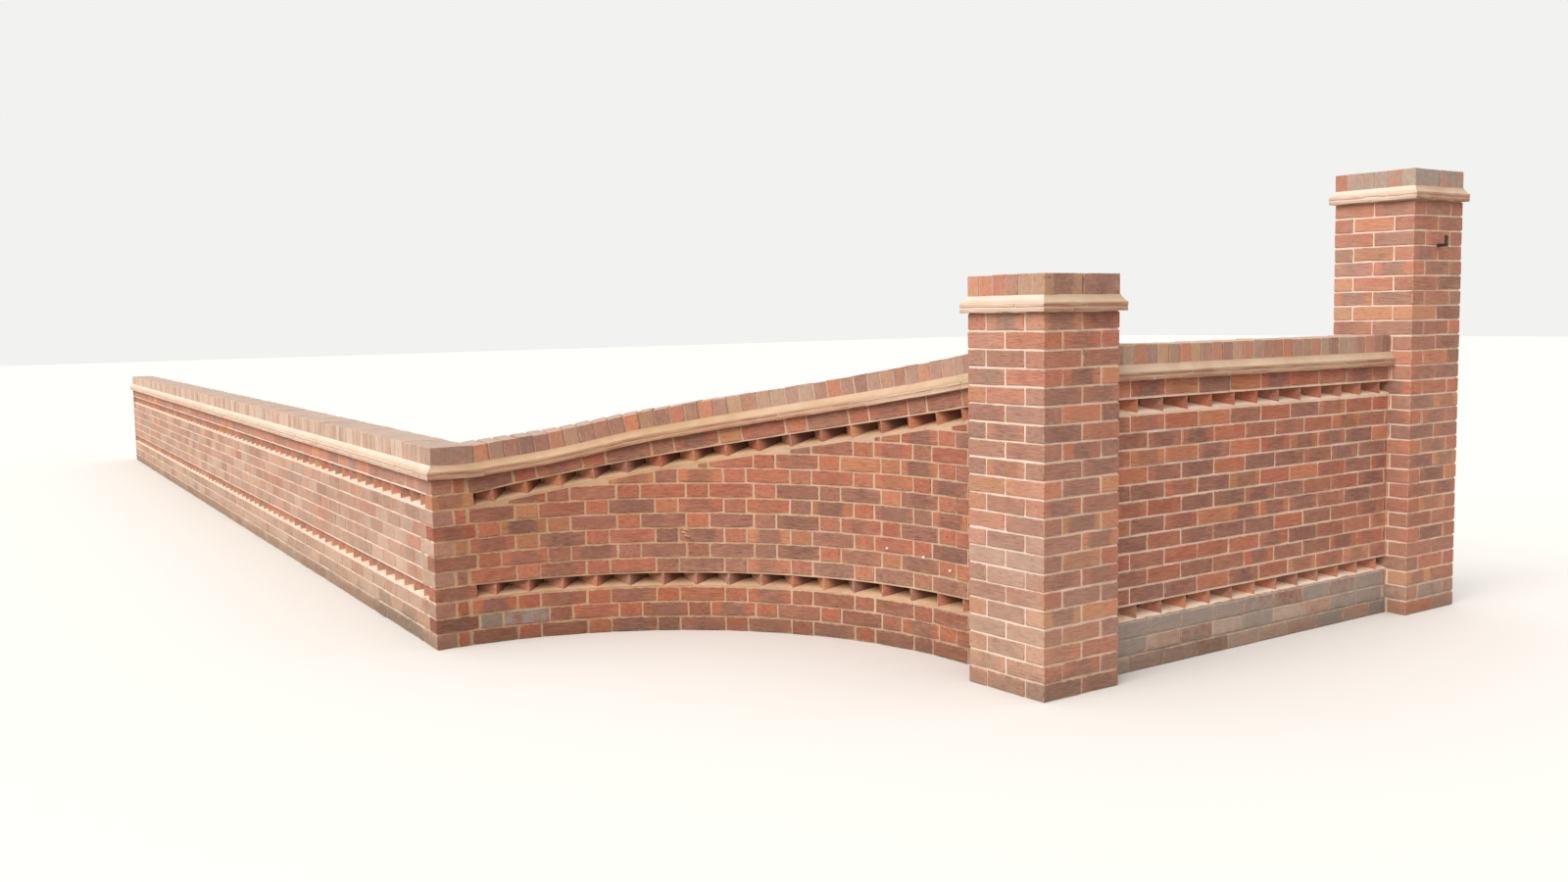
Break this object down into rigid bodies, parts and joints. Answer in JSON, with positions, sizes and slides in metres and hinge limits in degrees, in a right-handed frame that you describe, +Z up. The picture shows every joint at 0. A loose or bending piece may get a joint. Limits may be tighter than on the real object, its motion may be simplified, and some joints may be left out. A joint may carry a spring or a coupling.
{
  "type": "brick garden wall",
  "caption": "Brick boundary wall with a long straight stretch, a quarter-round ramp, a short return, square capped piers, dog-tooth courses, tile creasing and an iron gate hook.",
  "frame": {"origin": "middle of the front pier's foot, at ground level", "axes": "+X along the street from the far end of the wall towards the piers, +Y back from the street towards the rear pier, +Z up"},
  "size_m": [13.9367, 4.685, 2.2525],
  "materials": {
    "red_brick": "multi red-orange and plum wire-cut facing brick, matt, light buff mortar",
    "weathered_brick": "damp darkened facing brick with moss, bloom and splashed soil",
    "coping_brick": "pitted and weathered brick on edge, greyed by lichen",
    "creasing_tile": "plain clay tile, matt",
    "mortar": "buff sand and cement mortar, trowelled",
    "black_iron": "black painted wrought iron"
  },
  "bodies": {
    "root": {"street_footing": "weathered_brick", "street_lower_dogtooth": "red_brick", "street_panel": "red_brick", "street_upper_dogtooth": "red_brick", "street_head_course": "red_brick", "street_lower_tiles": "creasing_tile", "street_upper_tiles": "creasing_tile", "street_fillet": "mortar", "street_coping": "coping_brick", "curve_footing": "weathered_brick", "curve_lower_dogtooth": "red_brick", "curve_panel": "red_brick", "curve_upper_dogtooth": "red_brick", "curve_head_course": "red_brick", "curve_lower_tiles": "creasing_tile", "curve_upper_tiles": "creasing_tile", "curve_fillet": "mortar", "curve_coping": "coping_brick", "return_footing": "weathered_brick", "return_lower_dogtooth": "red_brick", "return_panel": "red_brick", "return_upper_dogtooth": "red_brick", "return_head_course": "red_brick", "return_lower_tiles": "creasing_tile", "return_upper_tiles": "creasing_tile", "return_fillet": "mortar", "return_coping": "coping_brick", "front_pier_shaft": "red_brick", "front_pier_lower_tiles": "creasing_tile", "front_pier_upper_tiles": "creasing_tile", "front_pier_fillet": "mortar", "front_pier_cap": "coping_brick", "rear_pier_shaft": "red_brick", "rear_pier_lower_tiles": "creasing_tile", "rear_pier_upper_tiles": "creasing_tile", "rear_pier_fillet": "mortar", "rear_pier_cap": "coping_brick", "gate_hook": "black_iron"}
  },
  "joints": []
}
